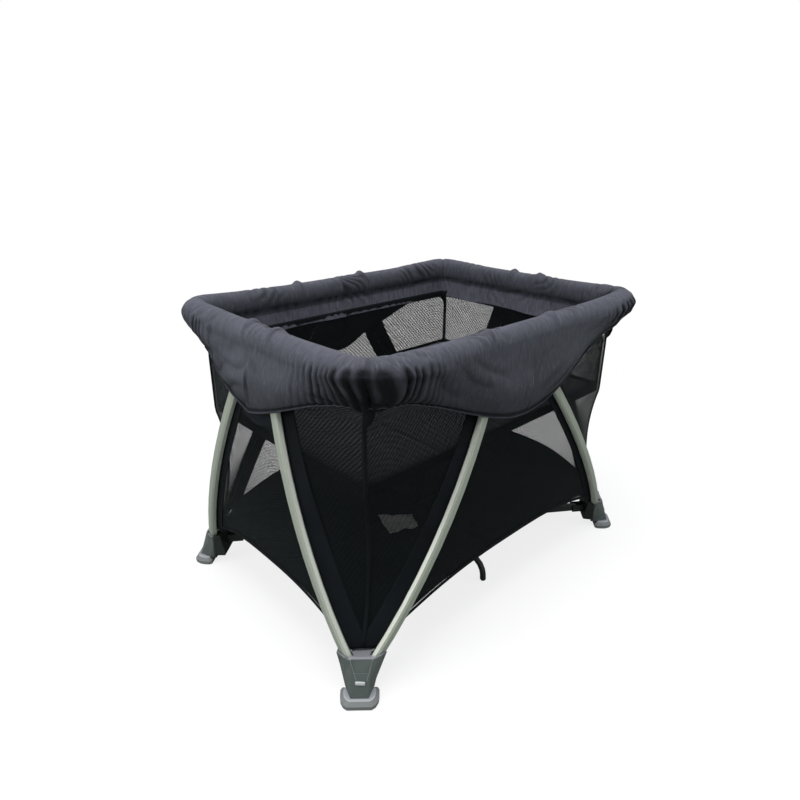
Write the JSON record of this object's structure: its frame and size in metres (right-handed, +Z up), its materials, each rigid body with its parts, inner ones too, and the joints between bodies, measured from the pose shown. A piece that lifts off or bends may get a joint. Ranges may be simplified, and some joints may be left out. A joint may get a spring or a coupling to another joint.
{
  "type": "playpen",
  "caption": "Folding playpen: bowed leg pairs on moulded feet, padded top rails, mesh walls, raised bassinet insert with mattress pad, and a folding base hub.",
  "frame": {"origin": "on the floor, under the centre of the playpen", "axes": "+X along the long sides, +Z up; -Y is the long side nearest the viewer"},
  "size_m": [1.1214, 0.7942, 0.7868],
  "materials": {
    "leg_aluminium": "champagne satin anodised",
    "rail_steel": "dark satin paint",
    "black_steel": "black satin paint",
    "moulded_plastic": "fine moulded grain",
    "foot_grip": "matte",
    "cover_cloth": "woven, soft sheen",
    "mesh_cloth": "fine knitted mesh",
    "pad_cloth": "woven"
  },
  "bodies": {
    "foot_front_left": {"foot_socket_front_left": "moulded_plastic", "foot_pad_front_left": "foot_grip", "corner_panel_front_left": "mesh_cloth"},
    "strut_front_left": {"base_strut_front_left": "rail_steel"},
    "long_leg_front_left": {"long_leg_front_left": "leg_aluminium"},
    "short_leg_front_left": {"short_leg_front_left": "leg_aluminium"},
    "long_rail_front_left": {"long_rail_front_left": "rail_steel", "rail_elbow_front_left": "moulded_plastic", "long_cover_front_left": "cover_cloth"},
    "short_rail_front_left": {"short_rail_front_left": "rail_steel", "short_cover_front_left": "cover_cloth"},
    "foot_front_right": {"foot_socket_front_right": "moulded_plastic", "foot_pad_front_right": "foot_grip", "corner_panel_front_right": "mesh_cloth"},
    "strut_front_right": {"base_strut_front_right": "rail_steel"},
    "long_leg_front_right": {"long_leg_front_right": "leg_aluminium"},
    "short_leg_front_right": {"short_leg_front_right": "leg_aluminium"},
    "long_rail_front_right": {"long_rail_front_right": "rail_steel", "rail_elbow_front_right": "moulded_plastic", "long_cover_front_right": "cover_cloth"},
    "short_rail_front_right": {"short_rail_front_right": "rail_steel", "short_cover_front_right": "cover_cloth"},
    "foot_back_left": {"foot_socket_back_left": "moulded_plastic", "foot_pad_back_left": "foot_grip", "corner_panel_back_left": "mesh_cloth"},
    "strut_back_left": {"base_strut_back_left": "rail_steel"},
    "long_leg_back_left": {"long_leg_back_left": "leg_aluminium"},
    "short_leg_back_left": {"short_leg_back_left": "leg_aluminium"},
    "long_rail_back_left": {"long_rail_back_left": "rail_steel", "rail_elbow_back_left": "moulded_plastic", "long_cover_back_left": "cover_cloth"},
    "short_rail_back_left": {"short_rail_back_left": "rail_steel", "short_cover_back_left": "cover_cloth"},
    "foot_back_right": {"foot_socket_back_right": "moulded_plastic", "foot_pad_back_right": "foot_grip", "corner_panel_back_right": "mesh_cloth"},
    "strut_back_right": {"base_strut_back_right": "rail_steel"},
    "long_leg_back_right": {"long_leg_back_right": "leg_aluminium"},
    "short_leg_back_right": {"short_leg_back_right": "leg_aluminium"},
    "long_rail_back_right": {"long_rail_back_right": "rail_steel", "rail_elbow_back_right": "moulded_plastic", "long_cover_back_right": "cover_cloth"},
    "short_rail_back_right": {"short_rail_back_right": "rail_steel", "short_cover_back_right": "cover_cloth"},
    "base_hub": {"base_hub": "moulded_plastic", "lift_handle": "foot_grip", "floor_cloth": "cover_cloth"},
    "support_leg_front": {"support_leg_front": "black_steel"},
    "long_hub_front": {"long_hub_front": "moulded_plastic", "side_panel_front": "mesh_cloth"},
    "support_leg_back": {"support_leg_back": "black_steel"},
    "long_hub_back": {"long_hub_back": "moulded_plastic", "side_panel_back": "mesh_cloth"},
    "short_hub_left": {"short_hub_left": "moulded_plastic", "side_panel_left": "mesh_cloth"},
    "short_hub_right": {"short_hub_right": "moulded_plastic", "side_panel_right": "mesh_cloth"},
    "bassinet": {"bassinet_insert": "mesh_cloth"},
    "mattress": {"mattress_pad": "pad_cloth"}
  },
  "joints": [
    {"name": "fold", "type": "hinge", "parent": "foot_front_left", "child": "strut_front_left", "pos_m": [-0.44139, -0.29993, 0.065], "axis": [0.562, -0.8271, 0], "range_deg": [0, 80], "deforming": ["corner_panel_front_left", "long_cover_front_left", "short_cover_front_left", "corner_panel_front_right", "long_cover_front_right", "short_cover_front_right", "corner_panel_back_left", "long_cover_back_left", "short_cover_back_left", "corner_panel_back_right", "long_cover_back_right", "short_cover_back_right", "floor_cloth", "side_panel_front", "side_panel_back", "side_panel_left", "side_panel_right", "bassinet_insert", "mattress_pad"]},
    {"name": "hub_level", "type": "hinge", "parent": "strut_front_left", "child": "base_hub", "pos_m": [-0.03887, -0.02642, 0.065], "axis": [0.562, -0.8271, 0], "range_deg": [-80, 0]},
    {"name": "strut_swing_front_right", "type": "hinge", "parent": "base_hub", "child": "strut_front_right", "pos_m": [0.03887, -0.02642, 0.065], "axis": [0.562, 0.8271, 0], "range_deg": [0, 80]},
    {"name": "foot_level_front_right", "type": "hinge", "parent": "strut_front_right", "child": "foot_front_right", "pos_m": [0.44139, -0.29993, 0.065], "axis": [0.562, 0.8271, 0], "range_deg": [-80, 0]},
    {"name": "strut_swing_back_left", "type": "hinge", "parent": "base_hub", "child": "strut_back_left", "pos_m": [-0.03887, 0.02642, 0.065], "axis": [-0.562, -0.8271, 0], "range_deg": [0, 80]},
    {"name": "foot_level_back_left", "type": "hinge", "parent": "strut_back_left", "child": "foot_back_left", "pos_m": [-0.44139, 0.29993, 0.065], "axis": [-0.562, -0.8271, 0], "range_deg": [-80, 0]},
    {"name": "strut_swing_back_right", "type": "hinge", "parent": "base_hub", "child": "strut_back_right", "pos_m": [0.03887, 0.02642, 0.065], "axis": [-0.562, 0.8271, 0], "range_deg": [0, 80]},
    {"name": "foot_level_back_right", "type": "hinge", "parent": "strut_back_right", "child": "foot_back_right", "pos_m": [0.44139, 0.29993, 0.065], "axis": [-0.562, 0.8271, 0], "range_deg": [-80, 0]},
    {"name": "long_leg_swing_front_left", "type": "hinge", "parent": "foot_front_left", "child": "long_leg_front_left", "pos_m": [-0.47041, -0.35534, 0.088], "axis": [0, -1, 0], "range_deg": [0, 27.8]},
    {"name": "short_leg_swing_front_left", "type": "hinge", "parent": "foot_front_left", "child": "short_leg_front_left", "pos_m": [-0.51559, -0.31466, 0.088], "axis": [1, 0, 0], "range_deg": [0, 20.06]},
    {"name": "long_leg_swing_front_right", "type": "hinge", "parent": "foot_front_right", "child": "long_leg_front_right", "pos_m": [0.47041, -0.35534, 0.088], "axis": [0, 1, 0], "range_deg": [0, 27.8]},
    {"name": "short_leg_swing_front_right", "type": "hinge", "parent": "foot_front_right", "child": "short_leg_front_right", "pos_m": [0.51559, -0.31466, 0.088], "axis": [1, 0, 0], "range_deg": [0, 20.06]},
    {"name": "long_leg_swing_back_left", "type": "hinge", "parent": "foot_back_left", "child": "long_leg_back_left", "pos_m": [-0.47041, 0.35534, 0.088], "axis": [0, -1, 0], "range_deg": [0, 27.8]},
    {"name": "short_leg_swing_back_left", "type": "hinge", "parent": "foot_back_left", "child": "short_leg_back_left", "pos_m": [-0.51559, 0.31466, 0.088], "axis": [-1, 0, 0], "range_deg": [0, 20.06]},
    {"name": "long_leg_swing_back_right", "type": "hinge", "parent": "foot_back_right", "child": "long_leg_back_right", "pos_m": [0.47041, 0.35534, 0.088], "axis": [0, 1, 0], "range_deg": [0, 27.8]},
    {"name": "short_leg_swing_back_right", "type": "hinge", "parent": "foot_back_right", "child": "short_leg_back_right", "pos_m": [0.51559, 0.31466, 0.088], "axis": [-1, 0, 0], "range_deg": [0, 20.06]},
    {"name": "long_hub_level_front", "type": "hinge", "parent": "long_leg_front_left", "child": "long_hub_front", "pos_m": [-0.062, -0.3324, 0.7], "axis": [0, -1, 0], "range_deg": [-27.8, 0]},
    {"name": "long_rail_drop_front_left", "type": "hinge", "parent": "long_hub_front", "child": "long_rail_front_left", "pos_m": [-0.15, -0.355, 0.74], "axis": [0, -1, 0], "range_deg": [0, 88]},
    {"name": "long_rail_drop_front_right", "type": "hinge", "parent": "long_hub_front", "child": "long_rail_front_right", "pos_m": [0.15, -0.355, 0.74], "axis": [0, 1, 0], "range_deg": [0, 88]},
    {"name": "support_leg_drop_front", "type": "hinge", "parent": "base_hub", "child": "support_leg_front", "pos_m": [0, -0.045, 0.065], "axis": [1, 0, 0], "range_deg": [0, 80]},
    {"name": "long_hub_level_back", "type": "hinge", "parent": "long_leg_back_left", "child": "long_hub_back", "pos_m": [-0.062, 0.3324, 0.7], "axis": [0, -1, 0], "range_deg": [-27.8, 0]},
    {"name": "long_rail_drop_back_left", "type": "hinge", "parent": "long_hub_back", "child": "long_rail_back_left", "pos_m": [-0.15, 0.355, 0.74], "axis": [0, -1, 0], "range_deg": [0, 88]},
    {"name": "long_rail_drop_back_right", "type": "hinge", "parent": "long_hub_back", "child": "long_rail_back_right", "pos_m": [0.15, 0.355, 0.74], "axis": [0, 1, 0], "range_deg": [0, 88]},
    {"name": "support_leg_drop_back", "type": "hinge", "parent": "base_hub", "child": "support_leg_back", "pos_m": [0, 0.045, 0.065], "axis": [-1, 0, 0], "range_deg": [0, 80]},
    {"name": "short_hub_level_left", "type": "hinge", "parent": "short_leg_front_left", "child": "short_hub_left", "pos_m": [-0.5016, -0.05, 0.7], "axis": [1, 0, 0], "range_deg": [-20.06, 0]},
    {"name": "short_rail_drop_front_left", "type": "hinge", "parent": "short_hub_left", "child": "short_rail_front_left", "pos_m": [-0.479, -0.037, 0.74], "axis": [1, 0, 0], "range_deg": [0, 88]},
    {"name": "short_rail_drop_back_left", "type": "hinge", "parent": "short_hub_left", "child": "short_rail_back_left", "pos_m": [-0.479, 0.037, 0.74], "axis": [-1, 0, 0], "range_deg": [0, 88]},
    {"name": "short_hub_level_right", "type": "hinge", "parent": "short_leg_front_right", "child": "short_hub_right", "pos_m": [0.5016, -0.05, 0.7], "axis": [1, 0, 0], "range_deg": [-20.06, 0]},
    {"name": "short_rail_drop_front_right", "type": "hinge", "parent": "short_hub_right", "child": "short_rail_front_right", "pos_m": [0.479, -0.037, 0.74], "axis": [1, 0, 0], "range_deg": [0, 88]},
    {"name": "short_rail_drop_back_right", "type": "hinge", "parent": "short_hub_right", "child": "short_rail_back_right", "pos_m": [0.479, 0.037, 0.74], "axis": [-1, 0, 0], "range_deg": [0, 88]},
    {"name": "bassinet_lift", "type": "slide", "parent": "base_hub", "child": "bassinet", "axis": [0, 0, 1], "range_m": [0, 0.5]},
    {"name": "mattress_lift", "type": "slide", "parent": "bassinet", "child": "mattress", "axis": [0, 0, 1], "range_m": [0, 0.4]}
  ],
  "couplings": [
    {"joint": "hub_level", "follows": "fold", "ratio": -1},
    {"joint": "strut_swing_front_right", "follows": "fold", "ratio": 1},
    {"joint": "foot_level_front_right", "follows": "fold", "ratio": -1},
    {"joint": "strut_swing_back_left", "follows": "fold", "ratio": 1},
    {"joint": "foot_level_back_left", "follows": "fold", "ratio": -1},
    {"joint": "strut_swing_back_right", "follows": "fold", "ratio": 1},
    {"joint": "foot_level_back_right", "follows": "fold", "ratio": -1},
    {"joint": "long_leg_swing_front_left", "follows": "fold", "ratio": 0.34755},
    {"joint": "short_leg_swing_front_left", "follows": "fold", "ratio": 0.2508},
    {"joint": "long_leg_swing_front_right", "follows": "fold", "ratio": 0.34755},
    {"joint": "short_leg_swing_front_right", "follows": "fold", "ratio": 0.2508},
    {"joint": "long_leg_swing_back_left", "follows": "fold", "ratio": 0.34755},
    {"joint": "short_leg_swing_back_left", "follows": "fold", "ratio": 0.2508},
    {"joint": "long_leg_swing_back_right", "follows": "fold", "ratio": 0.34755},
    {"joint": "short_leg_swing_back_right", "follows": "fold", "ratio": 0.2508},
    {"joint": "long_hub_level_front", "follows": "fold", "ratio": -0.34755},
    {"joint": "long_rail_drop_front_left", "follows": "fold", "ratio": 1.1},
    {"joint": "long_rail_drop_front_right", "follows": "fold", "ratio": 1.1},
    {"joint": "support_leg_drop_front", "follows": "fold", "ratio": 1},
    {"joint": "long_hub_level_back", "follows": "fold", "ratio": -0.34755},
    {"joint": "long_rail_drop_back_left", "follows": "fold", "ratio": 1.1},
    {"joint": "long_rail_drop_back_right", "follows": "fold", "ratio": 1.1},
    {"joint": "support_leg_drop_back", "follows": "fold", "ratio": 1},
    {"joint": "short_hub_level_left", "follows": "fold", "ratio": -0.2508},
    {"joint": "short_rail_drop_front_left", "follows": "fold", "ratio": 1.1},
    {"joint": "short_rail_drop_back_left", "follows": "fold", "ratio": 1.1},
    {"joint": "short_hub_level_right", "follows": "fold", "ratio": -0.2508},
    {"joint": "short_rail_drop_front_right", "follows": "fold", "ratio": 1.1},
    {"joint": "short_rail_drop_back_right", "follows": "fold", "ratio": 1.1}
  ]
}
